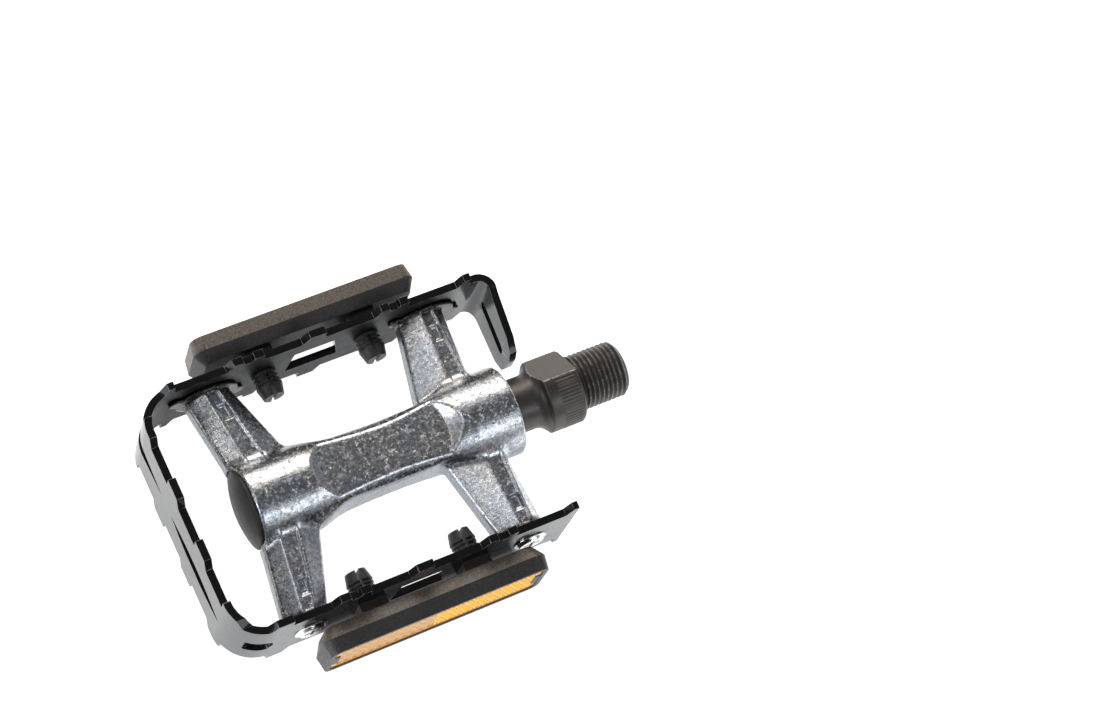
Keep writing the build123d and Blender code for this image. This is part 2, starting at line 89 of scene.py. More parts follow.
# ---- shaders --------------------------------------------------------------------------
class Shader:
    """A node material on one Principled shader, with textures laid out in object space."""

    def __init__(self, name, **sockets):
        self.material = bpy.data.materials.new("finish_" + name)
        self.material.use_nodes = True
        self.tree = self.material.node_tree
        self.tree.nodes.clear()
        self.out = self.add("ShaderNodeOutputMaterial")
        self.bsdf = self.add("ShaderNodeBsdfPrincipled")
        self.link(self.bsdf.outputs[0], self.out.inputs[0])
        self.place = self.add("ShaderNodeTexCoord").outputs["Object"]
        self.normal = None
        for socket, value in sockets.items():
            self.set(socket.replace("_", " "), value)

    def add(self, kind, **values):
        node = self.tree.nodes.new(kind)
        for key, value in values.items():
            setattr(node, key, value)
        return node

    def link(self, source, target):
        self.tree.links.new(source, target)

    def feed(self, socket, value):
        if isinstance(value, bpy.types.NodeSocket):
            self.link(value, socket)
        elif isinstance(value, tuple) and len(value) == 3 and socket.type == "RGBA":
            socket.default_value = (*value, 1.0)
        else:
            socket.default_value = value

    def set(self, socket, value):
        self.feed(self.bsdf.inputs[socket], value)

    def stretched(self, scale):
        mapping = self.add("ShaderNodeMapping")
        self.link(self.place, mapping.inputs["Vector"])
        mapping.inputs["Scale"].default_value = scale
        return mapping.outputs[0]

    def noise(self, size_mm, detail=3.0, roughness=0.55, stretch=None):
        node = self.add("ShaderNodeTexNoise")
        self.link(self.stretched(stretch) if stretch else self.place, node.inputs["Vector"])
        node.inputs["Scale"].default_value = 1.0 / (size_mm * MM)
        node.inputs["Detail"].default_value = detail
        node.inputs["Roughness"].default_value = roughness
        return node.outputs["Fac"]

    def remap(self, value, low, high, new_low=0.0, new_high=1.0):
        node = self.add("ShaderNodeMapRange")
        self.feed(node.inputs["Value"], value)
        ends = {"From Min": low, "From Max": high, "To Min": new_low, "To Max": new_high}
        for socket, number in ends.items():
            self.feed(node.inputs[socket], number)
        return node.outputs["Result"]

    def between(self, value, limits_mm):
        """0 at the first limit and 1 at the second."""
        return self.remap(value, limits_mm[0] * MM, limits_mm[1] * MM)

    def combine(self, kind, a, b):
        node = self.add("ShaderNodeMath", operation=kind)
        self.feed(node.inputs[0], a)
        self.feed(node.inputs[1], b)
        return node.outputs[0]

    def mix(self, share, a, b):
        node = self.add("ShaderNodeMix", data_type="RGBA")
        self.feed(node.inputs["Factor"], share)
        self.feed(node.inputs[6], a)
        self.feed(node.inputs[7], b)
        return node.outputs[2]

    def axes(self, output="Object"):
        """X, Y and Z of the place, or of the facing direction, on the piece itself."""
        parts = self.add("ShaderNodeSeparateXYZ")
        self.link(self.add("ShaderNodeTexCoord").outputs[output], parts.inputs[0])
        return parts.outputs

    def attribute(self, name):
        return self.add("ShaderNodeAttribute", attribute_name=name).outputs["Fac"]

    def bump(self, height, depth_mm, strength=1.0):
        node = self.add("ShaderNodeBump")
        self.feed(node.inputs["Height"], height)
        node.inputs["Distance"].default_value = depth_mm * MM
        node.inputs["Strength"].default_value = strength
        if self.normal is not None:
            self.link(self.normal, node.inputs["Normal"])
        self.normal = node.outputs[0]
        self.set("Normal", self.normal)


# Where painted light and shade start and end, in millimetres from the origin
FOOT_SHADE_Y = (29.6, 30.6)
REAR_PLATE_Y = (26.0, 28.0)
REAR_BEND_X = (-18.0, -24.0)
PLATE_FACE_Y = (31.5, 32.5)


def aluminium():
    s = Shader("cast_aluminium", Metallic=1.0)
    speckle = s.remap(s.noise(0.9, 5.0, 0.9), 0.44, 0.58)
    tone = s.mix(s.remap(s.noise(7.0), 0.38, 0.62), (0.74, 0.78, 0.85), (0.94, 0.91, 0.87))
    base_tone = s.mix(speckle, (0.40, 0.41, 0.43), tone)
    # painted shade: steep walls get a darker colour than the flatter faces, standing in for the
    # shaded ground close under the pedal that they reflect
    steep = s.remap(s.combine("ABSOLUTE", s.axes("Normal")[2], 0.0), 0.50, 0.18)
    base_tone = s.mix(steep, base_tone, (0.24, 0.26, 0.29))
    # painted shade: where the arm feet meet the cage plates the metal turns dark, with a ragged
    # edge
    outward = s.combine("ABSOLUTE", s.axes()[1], 0.0)
    ragged = s.combine("ADD", outward, s.combine("MULTIPLY", s.noise(2.5, 4.0), 3 * MM))
    foot_shade = s.between(ragged, FOOT_SHADE_Y)
    s.set("Base Color", s.mix(foot_shade, base_tone, (0.075, 0.070, 0.066)))
    s.set("Roughness", s.remap(s.noise(1.2, 5.0, 0.75), 0.3, 0.7, 0.17, 0.37))
    s.bump(s.noise(7.0, 1.0), 0.16, 0.5)
    s.bump(s.noise(2.2, 2.0, 0.5), 0.04, 0.6)
    s.bump(s.noise(1.1, 3.0, 0.6, stretch=(0.12, 1.0, 1.0)), 0.05, 0.8)
    pits = s.remap(s.noise(0.95, 3.0, 0.8), 0.58, 0.68)
    s.bump(s.noise(0.9, 4.0, 0.9), 0.052, 0.9)
    s.bump(pits, 0.10, 0.8)
    return s.material


def black_steel():
    s = Shader("black_steel", Specular_Tint=(0.86, 0.93, 1.0))
    s.set("Base Color", s.mix(s.noise(5.0), (0.004, 0.004, 0.004), (0.009, 0.0085, 0.008)))
    # painted shade: the rear plate's side that faces the barrel is made less specular and rougher,
    # darkening it like the shade inside the cage
    place = s.axes()
    at_plate = s.between(place[1], REAR_PLATE_Y)
    rear = s.combine("MULTIPLY", at_plate, s.between(place[0], REAR_BEND_X))
    dull = s.combine("MULTIPLY", rear, s.remap(s.axes("Normal")[1], -0.3, -0.8))
    s.set("Specular IOR Level", s.remap(dull, 0.0, 1.0, 0.55, 0.30))
    gloss = s.remap(s.noise(2.5, 4.0, 0.5), 0.3, 0.7, 0.14, 0.22)
    s.set("Roughness", s.combine("ADD", gloss, s.combine("MULTIPLY", dull, 0.30)))
    s.bump(s.noise(4.0, 1.0), 0.02, 0.4)
    s.bump(s.noise(0.45, 2.0), 0.003, 0.5)
    return s.material


def edge_wear_and_highlight():
    """Black steel where its corners are rubbed thin, lighter there: partly real wear, partly a
    painted highlight along the edges.
    """
    s = Shader("edge_wear_and_highlight", Metallic=0.5, Specular_IOR_Level=0.6)
    rub_and_highlight = s.remap(s.noise(2.2, 5.0, 0.7), 0.42, 0.58)
    s.set("Base Color", s.mix(rub_and_highlight, (0.045, 0.042, 0.038), (0.42, 0.39, 0.36)))
    s.set("Roughness", s.remap(s.noise(0.8, 4.0), 0.3, 0.7, 0.22, 0.40))
    s.bump(s.noise(0.5, 3.0), 0.01, 0.6)
    return s.material


def zinc():
    s = Shader("zinc_screw", Metallic=1.0)
    s.set("Base Color", s.mix(s.noise(1.5), (0.72, 0.71, 0.68), (0.90, 0.90, 0.90)))
    s.set("Roughness", s.remap(s.noise(0.8, 4.0), 0.3, 0.7, 0.14, 0.30))
    s.bump(s.noise(0.35, 4.0), 0.01, 0.7)
    return s.material


def housing_plastic():
    s = Shader("housing_plastic", Specular_IOR_Level=0.45)
    grain = s.remap(s.noise(0.5, 4.0, 0.85), 0.40, 0.62)
    rear_lit_tone = s.mix(grain, (0.080, 0.065, 0.052), (0.205, 0.168, 0.134))
    base_tone = s.mix(grain, (0.026, 0.025, 0.026), (0.058, 0.056, 0.056))
    # painted light: slopes that face the rear get a lighter brown, as if lit from the rear; the
    # pegs behind the plate face keep the darker tone
    beyond_plate = s.between(s.combine("ABSOLUTE", s.axes()[1], 0.0), PLATE_FACE_Y)
    rear_lit_share = s.combine("MULTIPLY", beyond_plate, s.remap(s.axes("Normal")[1], -0.05, 0.10))
    s.set("Base Color", s.mix(rear_lit_share, base_tone, rear_lit_tone))
    s.set("Roughness", s.remap(s.noise(0.8, 4.0, 0.6), 0.3, 0.7, 0.38, 0.55))
    s.bump(s.noise(0.6, 4.0, 0.8), 0.035, 0.8)
    return s.material


def amber():
    s = Shader(
        "amber_lens", Coat_Weight=0.12, Coat_Roughness=0.1, IOR=1.49, Specular_IOR_Level=0.25
    )
    pale = s.mix(s.noise(1.2, 3.0, 0.5), (0.60, 0.27, 0.045), (0.70, 0.34, 0.065))
    ring = s.attribute("ring")
    s.set("Base Color", s.mix(ring, pale, (1.0, 0.55, 0.05)))
    # painted glow: the lens emits a faint amber light, strongest on the ring rows, though it is no
    # lamp
    s.set("Emission Color", (1.0, 0.50, 0.05))
    s.set("Emission Strength", s.remap(ring, 0.0, 1.0, 0.04, 0.45))
    s.set("Roughness", s.remap(s.noise(0.8, 4.0), 0.3, 0.7, 0.08, 0.22))
    s.bump(s.noise(0.5, 3.0), 0.008, 0.6)
    return s.material


def oxide_steel():
    s = Shader("oxide_steel", Metallic=0.55, Specular_IOR_Level=0.5)
    patchy = s.remap(s.noise(0.9, 6.0, 0.7), 0.30, 0.62, 0.55, 1.0)
    worn = s.combine("MULTIPLY", s.attribute("worn"), patchy)
    # the edges of the wrench flats and the thread crests get a lighter colour: partly bare-metal
    # wear, partly a painted highlight
    bright = s.combine("MULTIPLY", s.attribute("edge"), s.remap(s.noise(0.6, 4.0), 0.40, 0.60))
    tone = s.mix(s.noise(2.5, 5.0), (0.060, 0.056, 0.053), (0.115, 0.104, 0.094))
    tone = s.mix(worn, tone, (0.100, 0.085, 0.072))
    s.set("Base Color", s.mix(bright, tone, (0.42, 0.40, 0.38)))
    s.set("Roughness", s.remap(s.noise(0.7, 5.0, 0.7), 0.3, 0.7, 0.30, 0.48))
    s.bump(s.noise(0.5, 4.0, 0.7), 0.012, 0.8)
    s.bump(s.noise(0.25, 3.0, 0.6, stretch=(1.0, 6.0, 6.0)), 0.006, 0.5)
    return s.material


def cap_plastic():
    s = Shader("cap_plastic", Specular_IOR_Level=0.4)
    s.set("Base Color", s.mix(s.noise(1.5, 5.0), (0.026, 0.026, 0.027), (0.046, 0.045, 0.045)))
    s.set("Roughness", s.remap(s.noise(0.5, 4.0), 0.3, 0.7, 0.42, 0.58))
    s.bump(s.noise(0.35, 4.0), 0.012, 0.7)
    return s.material


def rubber():
    s = Shader("seal_rubber", Specular_IOR_Level=0.35)
    s.set("Base Color", s.mix(s.noise(1.5, 5.0), (0.008, 0.008, 0.008), (0.020, 0.020, 0.020)))
    s.set("Roughness", s.remap(s.noise(0.5, 4.0), 0.3, 0.7, 0.55, 0.75))
    s.bump(s.noise(0.3, 4.0), 0.01, 0.7)
    return s.material


def bearing_steel():
    s = Shader("bearing_steel", Metallic=1.0)
    s.set("Base Color", s.mix(s.noise(2.0, 4.0), (0.50, 0.49, 0.47), (0.66, 0.66, 0.66)))
    s.set("Roughness", s.remap(s.noise(0.8, 4.0), 0.3, 0.7, 0.12, 0.26))
    s.bump(s.noise(0.4, 3.0), 0.004, 0.5)
    return s.material


makers = (
    aluminium,
    black_steel,
    edge_wear_and_highlight,
    zinc,
    housing_plastic,
    amber,
    oxide_steel,
    cap_plastic,
    rubber,
    bearing_steel,
)
finishes = {}
for make in makers:
    material = make()
    finishes[material.name.removeprefix("finish_")] = material


def paint(piece, finish):
    piece.data.materials.clear()
    piece.data.materials.append(finishes[finish])


def dress(node, finish, edge_mm, bent=False, edge_finish=None):
    """Gives a CAD node its finish, and rounds its sharp edges."""
    piece = nodes[node]
    for slot in piece.material_slots:
        slot.material = finishes[finish]
    if edge_mm:
        weld = piece.modifiers.new("weld", "WELD")
        weld.merge_threshold = 1e-6
        bevel = piece.modifiers.new("bevel", "BEVEL")
        bevel.width = edge_mm * MM
        bevel.segments = 2
        bevel.limit_method = "ANGLE"
        bevel.angle_limit = math.radians(28)
        bevel.use_clamp_overlap = True
        if edge_finish:
            piece.data.materials.append(finishes[edge_finish])
            bevel.material = len(piece.data.materials) - 1
        if bent:
            # the large flat faces decide the shading, so the bends don't streak across them
            normals = piece.modifiers.new("normals", "WEIGHTED_NORMAL")
            normals.mode = "FACE_AREA"
            normals.weight = 80
            normals.keep_sharp = False
        else:
            bevel.harden_normals = True


# ---- mesh helpers ---------------------------------------------------------------------
def mesh_object(name, points_mm, faces, finish, body, replaced, smooth=True, values=None):
    mesh = bpy.data.meshes.new(name)
    faces = np.asarray(faces, dtype=np.int32)
    count = len(points_mm)
    mesh.vertices.add(count)
    mesh.vertices.foreach_set("co", (np.asarray(points_mm, dtype=np.float32) * MM).ravel())
    mesh.loops.add(faces.size)
    mesh.loops.foreach_set("vertex_index", faces.ravel())
    mesh.polygons.add(len(faces))
    mesh.polygons.foreach_set("loop_start", np.arange(len(faces), dtype=np.int32) * 4)
    mesh.polygons.foreach_set("use_smooth", np.full(len(faces), smooth))
    mesh.update(calc_edges=True)
    mesh.validate()
    for key, numbers in (values or {}).items():
        attribute = mesh.attributes.new(key, "FLOAT", "POINT")
        attribute.data.foreach_set("value", np.asarray(numbers, dtype=np.float32))
    piece = bpy.data.objects.new(name, mesh)
    bpy.context.scene.collection.objects.link(piece)
    paint(piece, finish)
    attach(piece, body)
    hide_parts(*replaced)


def smooth_min(a, b, reach):
    share = np.maximum(reach - np.abs(a - b), 0) / reach
    return np.minimum(a, b) - share * share * reach / 4


def smooth_max(a, b, reach):
    return -smooth_min(-a, -b, reach)


def surface_net(field, origin, step):
    """Points and quads of the surface where the sampled field is zero."""
    inside = field < 0
    shape = np.array(field.shape) - 1
    corners = [(i, j, k) for i in (0, 1) for j in (0, 1) for k in (0, 1)]

    def shifted(array, offset):
        return array[tuple(slice(o, o + n) for o, n in zip(offset, shape))]

    some = np.zeros(shape, bool)
    every = np.ones(shape, bool)
    for corner in corners:
        some |= shifted(inside, corner)
        every &= shifted(inside, corner)
    cells = np.argwhere(some & ~every)
    index = np.full(shape, -1, np.int32)
    index[tuple(cells.T)] = np.arange(len(cells), dtype=np.int32)
    total = np.zeros((len(cells), 3))
    count = np.zeros(len(cells))
    for a in corners:
        for axis in range(3):
            if a[axis]:
                continue
            b = tuple(v + (n == axis) for n, v in enumerate(a))
            low = field[tuple((cells + a).T)]
            high = field[tuple((cells + b).T)]
            crossed = (low < 0) != (high < 0)
            share = np.where(crossed, low / np.where(crossed, low - high, 1), 0)
            point = np.tile(np.array(a, float), (len(cells), 1))
            point[:, axis] += share
            total += point * crossed[:, None]
            count += crossed
    points = np.array(origin) + step * (cells + total / count[:, None])
    quads = []
    for axis in range(3):
        first = [slice(1, -1)] * 3
        first[axis] = slice(0, -1)
        second = list(first)
        second[axis] = slice(1, None)
        leaving = inside[tuple(first)] & ~inside[tuple(second)]
        entering = ~inside[tuple(first)] & inside[tuple(second)]
        u, v = [n for n in range(3) if n != axis]
        for found, flip in ((leaving, False), (entering, True)):
            base = np.argwhere(found)
            base[:, u] += 1
            base[:, v] += 1
            ring = []
            for du, dv in ((-1, -1), (0, -1), (0, 0), (-1, 0)):
                cell = base.copy()
                cell[:, u] += du
                cell[:, v] += dv
                ring.append(index[tuple(cell.T)])
            if flip != (axis == 1):
                ring.reverse()
            quads.append(np.stack(ring, 1))
    return points, np.concatenate(quads)


# ---- cast body ------------------------------------------------------------------------
BARREL_X = (-87.5, -18.0)
CRANK_RADIUS, WAIST_RADIUS, OUTER_RADIUS = 11.4, 9.1, 10.8
WAIST_X = -51.0
WAIST_REACH = 21.0
FACET_HEIGHT, FACET_RISE, FACET_MIDDLE, FACET_HALF = 7.0, 0.6, -52.3, 15.4
FACET_BULGE, FACET_BULGE_HALF = 1.3, 6.0
FACET_END_SLOPE = 1.05
FACET_END_STEEPNESS = 0.69  # keeps the field a true distance on that slope
SIDE_FLAT, SIDE_FLAT_HALF, SIDE_END_CURVE = 8.0, 11.0, 0.03
ARM_ROOT_Y, ARM_TIP_Y = 6.0, 27.9
ARMS = (
    # X of edge, ridge, ridge and edge where the arm leaves the barrel, then at its foot
    ((-87.8, -83.7, -78.4, -71.9), (-91.0, -86.5, -82.7, -79.3)),
    ((-39.4, -29.5, -25.0, -24.0), (-34.7, -29.1, -25.5, -22.6)),
)
ARM_HEIGHT, ARM_EDGE_HEIGHT, CHANNEL_DEPTH = 5.6, 2.6, 0.6
PAD_Y, PAD_HALF, PAD_DEPTH = 23.4, (1.15, 1.9), 1.0
FOOT_HALF = (8.2, 6.2)
FOOT_Y = (29.5, 30.48)
EAR_RADIUS, EAR_HEIGHT = 1.9, 2.6
CUP_RADIUS, BORE_RADIUS, INNER_CUP_DEPTH, OUTER_CUP_DEPTH = 9.2, 6.1, 9.2, 7.8
CAP_ROOM = 10.3
SCREW_X, SCREW_HOLE_RADIUS, SCREW_HOLE_Y = (-85.2, -26.8), 2.0, 21.0
# how softly neighbouring surfaces run into each other
SHARP, CREASE, EDGE, BLUNT, CORNER, ROUND, ARM_FILLET = 0.1, 0.3, 0.5, 0.6, 0.8, 0.9, 1.7


def steps(value, low, high):
    share = np.clip((value - low) / (high - low), 0, 1)
    return share * share * (3 - 2 * share)


def body_field(x, y, z):
    """Signed distance-like field of the casting, in millimetres."""
    ay, az = np.abs(y), np.abs(z)
    radius = np.sqrt(y * y + z * z)
    along = (x - WAIST_X) / WAIST_REACH
    swell = np.clip(np.abs(along), 0, 1)
    swell = swell * swell * (1.6 - 0.6 * swell)
    end_radius = np.where(along > 0, CRANK_RADIUS, OUTER_RADIUS)
    barrel = radius - WAIST_RADIUS - (end_radius - WAIST_RADIUS) * swell
    half = FACET_HALF + FACET_BULGE * (1 - (y / FACET_BULGE_HALF) ** 2)
    run_out = np.maximum(np.abs(x - FACET_MIDDLE) - half, 0)
    dish = FACET_RISE * ((x - FACET_MIDDLE) / FACET_HALF) ** 2
    facet = FACET_HEIGHT + dish + FACET_END_SLOPE * run_out
    steepness = np.where(run_out > 0, FACET_END_STEEPNESS, 1.0)
    barrel = smooth_max(barrel, (az - facet) * steepness, EDGE)
    run_out = np.maximum(np.abs(x - WAIST_X) - SIDE_FLAT_HALF, 0)
    barrel = smooth_max(barrel, ay - SIDE_FLAT - SIDE_END_CURVE * run_out * run_out, BLUNT)
    barrel = smooth_max(barrel, np.maximum(x - BARREL_X[1], BARREL_X[0] - x), ROUND)
    metal = barrel
    for (root, tip), hole_x in zip(ARMS, SCREW_X):
        share = (ay - ARM_ROOT_Y) / (ARM_TIP_Y - ARM_ROOT_Y)
        edge_a, ridge_a, ridge_b, edge_b = (a + (b - a) * share for a, b in zip(root, tip))
        drop = ARM_HEIGHT - ARM_EDGE_HEIGHT
        slope_a = drop / (ridge_a - edge_a)
        slope_b = drop / (edge_b - ridge_b)
        from_ridge = np.minimum(x - ridge_a, ridge_b - x)
        top = ARM_HEIGHT - CHANNEL_DEPTH * steps(from_ridge, 0.25, 0.75)
        middle = (ridge_a + ridge_b) / 2 + 0.2
        pad = np.maximum(np.abs(x - middle) - PAD_HALF[0], np.abs(ay - PAD_Y) - PAD_HALF[1])
        top = top - PAD_DEPTH * steps(-pad, -0.25, 0.45)
        side_a = (az - ARM_HEIGHT + (ridge_a - x) * slope_a) / np.sqrt(1 + slope_a**2)
        side_b = (az - ARM_HEIGHT + (x - ridge_b) * slope_b) / np.sqrt(1 + slope_b**2)
        arm = smooth_max(smooth_max(az - top, side_a, CREASE), side_b, CREASE)
        arm = smooth_max(arm, np.maximum(edge_a - x, x - edge_b), CORNER)
        arm = np.maximum(arm, np.maximum(ARM_ROOT_Y - ay, ay - FOOT_Y[1]))
        from_hole = np.sqrt(((x - hole_x) / FOOT_HALF[0]) ** 2 + (z / FOOT_HALF[1]) ** 2)
        foot = (from_hole - 1) * FOOT_HALF[1]
        for side in (-1, 1):
            ear_x = hole_x + side * FOOT_HALF[0]
            ear = np.sqrt((x - ear_x) ** 2 + (z + side * EAR_HEIGHT) ** 2) - EAR_RADIUS
            foot = smooth_min(foot, ear, CORNER)
        foot = smooth_max(foot, np.maximum(FOOT_Y[0] - ay, ay - FOOT_Y[1]), EDGE)
        metal = smooth_min(metal, smooth_min(arm, foot, ROUND), ARM_FILLET)
    # bore, bearing seats, room for the cap, screw holes
    metal = smooth_max(metal, BORE_RADIUS - radius, SHARP)
    deep = np.minimum(BARREL_X[1] - INNER_CUP_DEPTH - x, x - BARREL_X[0] - OUTER_CUP_DEPTH)
    metal = smooth_max(metal, -np.maximum(radius - CUP_RADIUS, deep), CREASE)
    metal = np.maximum(metal, -np.maximum(radius - CAP_ROOM, x - BARREL_X[0]))
    for hole_x in SCREW_X:
        hole = np.sqrt((x - hole_x) ** 2 + z * z) - SCREW_HOLE_RADIUS
        metal = np.maximum(metal, -np.maximum(hole, SCREW_HOLE_Y - ay))
    return metal


def cast_body():
    step = 0.23
    low, high = limits("body")
    low = low - 2.5 * step
    high = high + 2.5 * step
    axes = [np.arange(a, b, step, dtype=np.float32) for a, b in zip(low, high)]
    x, y, z = np.meshgrid(*axes, indexing="ij", sparse=True)
    field = body_field(x, y, z).astype(np.float32)
    points, quads = surface_net(field, [a[0] for a in axes], step)
    low, high = limits("body")
    points = np.clip(points, low, high)
    mesh_object("cast_body", points, quads, "cast_aluminium", "pedal_body", ["body"])


cast_body()


# ---- spindle --------------------------------------------------------------------------
THREAD_RADIUS = 14.288 / 2
THREAD_PITCH = 25.4 / 20
THREAD_DEPTH = 0.70
THREAD_X = (1.0, 13.5)
COLLAR_RADIUS, COLLAR_LENGTH, NECK_RADIUS = 9.45, 9.4, 6.9
WRENCH_HALF, WRENCH_ANGLE = 7.5, math.radians(47.0)
KNURL_COUNT, KNURL_DEPTH, KNURL_X = 64, 0.11, (-6.6, -0.9)
KEYWAY_X, KEYWAY_HALF, KEYWAY_FLOOR = -74.5, 0.9, 3.25
AROUND = 448


def spindle():
    low, _ = limits("spindle")
    end_x = low[0]
    rows = [(THREAD_X[1], 0.4), (THREAD_X[1], 4.4), (THREAD_X[1], 5.3), (THREAD_X[1], 5.9)]
    rows += [(x, THREAD_RADIUS) for x in np.arange(THREAD_X[1] - 0.05, THREAD_X[0], -0.085)]
    root = THREAD_RADIUS - THREAD_DEPTH
    rows += [(0.95, root), (0.6, root - 0.15), (0.1, root - 0.15), (-0.3, root - 0.05)]
    rows += [(-0.4, root + 0.2), (-0.4, 7.1), (-0.36, 7.28), (-0.1, 7.3)]
    rows += [(0.0, 7.38), (0.0, 7.8), (0.0, 8.4), (0.0, 8.85)]
    rows += [(-0.08, 9.02), (-0.4, 9.35), (-0.55, COLLAR_RADIUS)]
    rows += [(x, COLLAR_RADIUS) for x in np.linspace(-0.8, -COLLAR_LENGTH + 0.35, 46)]
    rows += [(-COLLAR_LENGTH + 0.1, COLLAR_RADIUS - 0.04), (-COLLAR_LENGTH, COLLAR_RADIUS - 0.2)]
    for share in np.linspace(0.06, 1, 18):
        angle = share * math.pi / 2
        rows.append(
            (
                -COLLAR_LENGTH - 0.1 - 3.1 * (1 - math.cos(angle)),
                NECK_RADIUS + (COLLAR_RADIUS - 0.25 - NECK_RADIUS) * (1 - math.sin(angle)),
            )
        )
    rows += [(-14.0, NECK_RADIUS), (-18.0, NECK_RADIUS), (-22.3, NECK_RADIUS), (-22.35, 6.4)]
    for share in np.linspace(0.1, 1, 7):
        angle = share * math.pi / 2
        rows.append((-24.0 + 1.65 * math.cos(angle), 6.4 - 1.65 * math.sin(angle)))
    rows += [(-44.0, 4.75), (-73.5, 4.4), (-74.1, 4.0)]
    rows += [(-74.6, 4.0), (end_x + 0.6, 4.0), (end_x, 3.4), (end_x, 0.4)]
    profile = np.array(rows)
    x = profile[:, :1]
    angle = np.linspace(0, 2 * math.pi, AROUND, endpoint=False)[None, :]
    radius = np.repeat(profile[:, 1:], AROUND, 1)
    # helical thread with flat crests, running out at both ends; left-hand, as on a left pedal
    in_thread = (x > THREAD_X[0]) & (x < THREAD_X[1] - 0.01)
    phase = (x / THREAD_PITCH + angle / (2 * math.pi)) % 1.0
    valley = np.clip(1.14 - 2.45 * np.abs(phase - 0.5), 0, 1)
    cut = THREAD_RADIUS - THREAD_DEPTH * valley
    chamfer = 5.95 + (THREAD_X[1] - x) * 1.05
    radius = np.where(in_thread, np.minimum(cut, chamfer), radius)
    crest = in_thread & (valley < 0.05)
    # wrench flats
    on_collar = (x <= 0.0) & (x > -COLLAR_LENGTH - 3.0) & (radius > 7.35)
    flat = np.full_like(radius, 99.0)
    for side in (0.0, math.pi):
        cosine = np.cos(angle - WRENCH_ANGLE - side)
        plane = WRENCH_HALF / np.maximum(cosine, 0.2)
        flat = np.minimum(flat, np.where(cosine > 0.2, plane, 99.0))
    worn = on_collar & (flat < radius)
    # straight knurl on the round part of the collar
    knurl = (x > KNURL_X[0]) & (x < KNURL_X[1]) & ~worn
    ease = np.clip(np.minimum(x - KNURL_X[0], KNURL_X[1] - x) / 0.5, 0, 1)
    groove = KNURL_DEPTH * np.clip(0.2 + 1.2 * np.cos(KNURL_COUNT * angle), 0, 1) * ease
    radius = np.where(knurl, radius - groove, radius)
    # edges of the flats, lighter in colour: partly wear, partly painted highlight
    edge = on_collar & (np.abs(flat - radius) < 0.16)
    radius = np.where(on_collar, np.minimum(radius, flat), radius)
    # keyway for the washer
    in_keyway = (np.abs(radius * np.cos(angle)) < KEYWAY_HALF) & (np.sin(angle) > 0)
    keyed = in_keyway & (x < KEYWAY_X) & (radius > KEYWAY_FLOOR)
    radius = np.where(keyed, KEYWAY_FLOOR, radius)
    points = np.stack(np.broadcast_arrays(x, radius * np.cos(angle), radius * np.sin(angle)), -1)
    count = len(profile)
    row, column = np.meshgrid(np.arange(count - 1), np.arange(AROUND), indexing="ij")
    after = (column + 1) % AROUND
    here = row * AROUND
    beyond = (row + 1) * AROUND
    quads = np.stack([here + column, beyond + column, beyond + after, here + after], -1)
    quads = quads.reshape(-1, 4)
    points = points.reshape(-1, 3)
    # close the two end faces with a small ring of quads to a centre point
    ends = []
    crank_end = (0, THREAD_X[1] - 0.3, True)
    cap_end = ((count - 1) * AROUND, end_x + 0.3, False)
    for first, centre_x, flip in (crank_end, cap_end):
        centre = len(points)
        points = np.vstack([points, [[centre_x, 0, 0]]])
        for n in range(0, AROUND, 2):
            a, b, c = first + n, first + n + 1, first + (n + 2) % AROUND
            ends.append([c, b, a, centre] if flip else [a, b, c, centre])
    quads = np.vstack([quads[:, ::-1], np.array(ends)[:, ::-1]])
    pad = np.zeros(2)
    values = {
        "worn": np.concatenate([worn.astype(float).ravel(), pad]),
        "edge": np.concatenate([(edge | crest).astype(float).ravel(), pad]),
    }
    mesh_object(
        "spindle_turned", points, quads, "oxide_steel", "spindle_group", ["spindle"], values=values
    )


spindle()


# ---- reflector lenses -----------------------------------------------------------------
PRISM_PITCH, PRISM_HEIGHT, PRISM_SLANT = 2.2, 0.28, 0.62
RING_PITCH, RING_RADIUS, RING_HEIGHT = 2.4, 0.75, 0.26
LENS_BORDER, LENS_FADE, LENS_CORNER, LENS_CLEARANCE = 1.7, 0.25, 1.4, 0.04


def wave(value):
    """Triangle wave from 0 to 1 with period 1."""
    return 1 - np.abs((value % 1.0) * 2 - 1)


